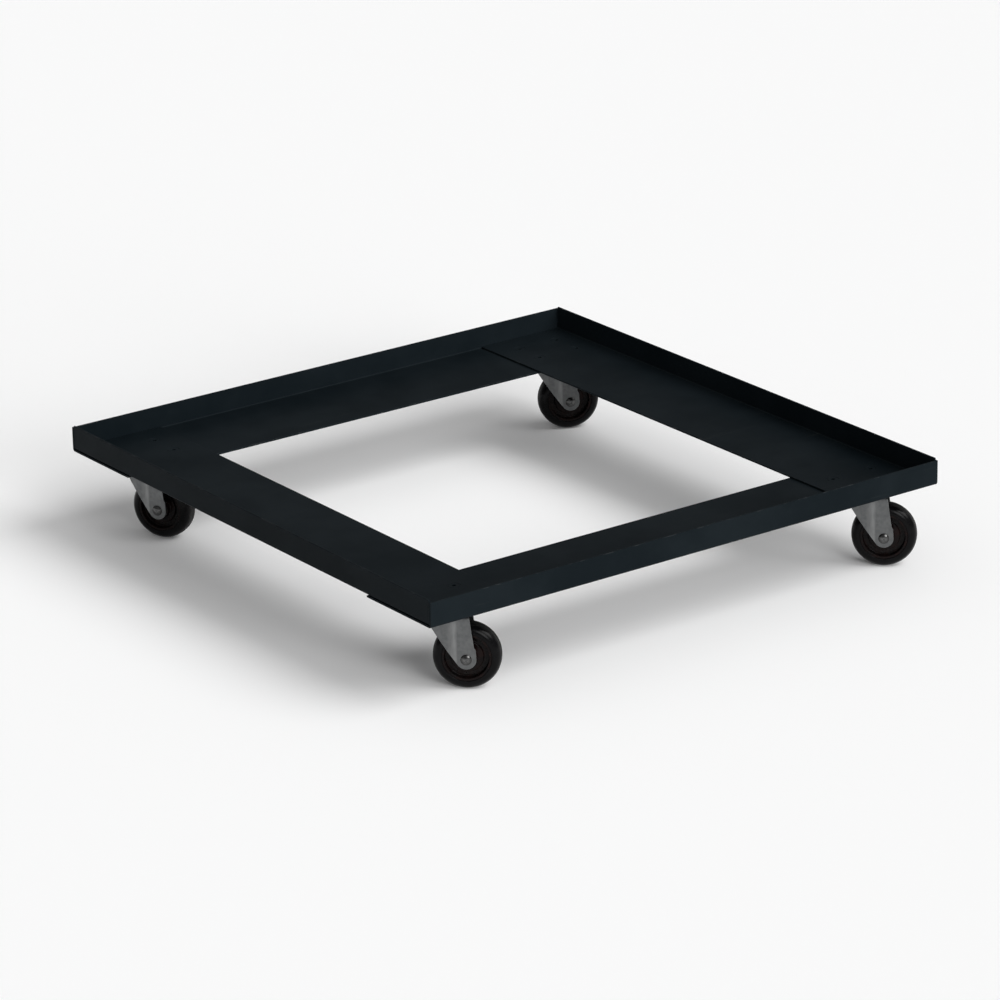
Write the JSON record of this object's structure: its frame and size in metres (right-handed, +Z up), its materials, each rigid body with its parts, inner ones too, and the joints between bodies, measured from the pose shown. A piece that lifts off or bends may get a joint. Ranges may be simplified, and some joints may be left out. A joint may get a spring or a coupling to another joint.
{
  "type": "stacking chair trolley",
  "caption": "Low square trolley: an open tray of black sheet-steel rails with upturned rims, on swivel casters, that carries a stack of chairs by its feet.",
  "frame": {"origin": "on the floor under the middle of the tray", "axes": "+Z up, +X to the right along the front rail, +Y from the front rail to the rear rail"},
  "size_m": [0.48, 0.488, 0.0885],
  "materials": {
    "black_paint": "gloss black enamel",
    "zinc_steel": "dull zinc plate",
    "bright_steel": "bright zinc plate",
    "wheel_moulding": "moulded, semi-gloss",
    "tyre_rubber": "moulded, semi-gloss"
  },
  "bodies": {
    "frame": {"front_rail": "black_paint", "rear_rail": "black_paint", "left_rail": "black_paint", "right_rail": "black_paint", "corner_welds": "black_paint", "plate_screws": "black_paint", "plate_nuts": "zinc_steel", "front_left_top_plate": "zinc_steel", "front_left_king_pin": "bright_steel", "front_left_pin_washer": "zinc_steel", "front_right_top_plate": "zinc_steel", "front_right_king_pin": "bright_steel", "front_right_pin_washer": "zinc_steel", "rear_right_top_plate": "zinc_steel", "rear_right_king_pin": "bright_steel", "rear_right_pin_washer": "zinc_steel", "rear_left_top_plate": "zinc_steel", "rear_left_king_pin": "bright_steel", "rear_left_pin_washer": "zinc_steel"},
    "front_left_swivel": {"front_left_fork": "zinc_steel", "front_left_axle_rivet": "bright_steel", "front_left_axle_sleeve": "zinc_steel"},
    "front_left_ball_ring": {"front_left_balls": "bright_steel"},
    "front_left_wheel": {"front_left_wheel_core": "wheel_moulding", "front_left_tyre": "tyre_rubber"},
    "front_right_swivel": {"front_right_fork": "zinc_steel", "front_right_axle_rivet": "bright_steel", "front_right_axle_sleeve": "zinc_steel"},
    "front_right_ball_ring": {"front_right_balls": "bright_steel"},
    "front_right_wheel": {"front_right_wheel_core": "wheel_moulding", "front_right_tyre": "tyre_rubber"},
    "rear_right_swivel": {"rear_right_fork": "zinc_steel", "rear_right_axle_rivet": "bright_steel", "rear_right_axle_sleeve": "zinc_steel"},
    "rear_right_ball_ring": {"rear_right_balls": "bright_steel"},
    "rear_right_wheel": {"rear_right_wheel_core": "wheel_moulding", "rear_right_tyre": "tyre_rubber"},
    "rear_left_swivel": {"rear_left_fork": "zinc_steel", "rear_left_axle_rivet": "bright_steel", "rear_left_axle_sleeve": "zinc_steel"},
    "rear_left_ball_ring": {"rear_left_balls": "bright_steel"},
    "rear_left_wheel": {"rear_left_wheel_core": "wheel_moulding", "rear_left_tyre": "tyre_rubber"}
  },
  "joints": [
    {"name": "front_left_swivel_turn", "type": "hinge", "parent": "frame", "child": "front_left_swivel", "pos_m": [-0.1995, -0.2035, 0.0595], "axis": [0, 0, 1], "continuous": true},
    {"name": "front_left_ball_roll", "type": "hinge", "parent": "frame", "child": "front_left_ball_ring", "pos_m": [-0.1995, -0.2035, 0.0608], "axis": [0, 0, 1], "continuous": true},
    {"name": "front_left_wheel_spin", "type": "hinge", "parent": "front_left_swivel", "child": "front_left_wheel", "pos_m": [-0.18705, -0.21432, 0.0254], "axis": [0.6561, 0.7547, 0], "continuous": true},
    {"name": "front_right_swivel_turn", "type": "hinge", "parent": "frame", "child": "front_right_swivel", "pos_m": [0.1995, -0.2035, 0.0595], "axis": [0, 0, 1], "continuous": true},
    {"name": "front_right_ball_roll", "type": "hinge", "parent": "frame", "child": "front_right_ball_ring", "pos_m": [0.1995, -0.2035, 0.0608], "axis": [0, 0, 1], "continuous": true},
    {"name": "front_right_wheel_spin", "type": "hinge", "parent": "front_right_swivel", "child": "front_right_wheel", "pos_m": [0.21176, -0.21454, 0.0254], "axis": [0.6691, 0.7431, 0], "continuous": true},
    {"name": "rear_right_swivel_turn", "type": "hinge", "parent": "frame", "child": "rear_right_swivel", "pos_m": [0.1995, 0.2035, 0.0595], "axis": [0, 0, 1], "continuous": true},
    {"name": "rear_right_ball_roll", "type": "hinge", "parent": "frame", "child": "rear_right_ball_ring", "pos_m": [0.1995, 0.2035, 0.0608], "axis": [0, 0, 1], "continuous": true},
    {"name": "rear_right_wheel_spin", "type": "hinge", "parent": "rear_right_swivel", "child": "rear_right_wheel", "pos_m": [0.21433, 0.19627, 0.0254], "axis": [0.4384, 0.8988, 0], "continuous": true},
    {"name": "rear_left_swivel_turn", "type": "hinge", "parent": "frame", "child": "rear_left_swivel", "pos_m": [-0.1995, 0.2035, 0.0595], "axis": [0, 0, 1], "continuous": true},
    {"name": "rear_left_ball_roll", "type": "hinge", "parent": "frame", "child": "rear_left_ball_ring", "pos_m": [-0.1995, 0.2035, 0.0608], "axis": [0, 0, 1], "continuous": true},
    {"name": "rear_left_wheel_spin", "type": "hinge", "parent": "rear_left_swivel", "child": "rear_left_wheel", "pos_m": [-0.19125, 0.18921, 0.0254], "axis": [0.866, 0.5, 0], "continuous": true}
  ],
  "couplings": [
    {"joint": "front_left_ball_roll", "follows": "front_left_swivel_turn", "ratio": 0.5},
    {"joint": "front_right_ball_roll", "follows": "front_right_swivel_turn", "ratio": 0.5},
    {"joint": "rear_right_ball_roll", "follows": "rear_right_swivel_turn", "ratio": 0.5},
    {"joint": "rear_left_ball_roll", "follows": "rear_left_swivel_turn", "ratio": 0.5}
  ]
}
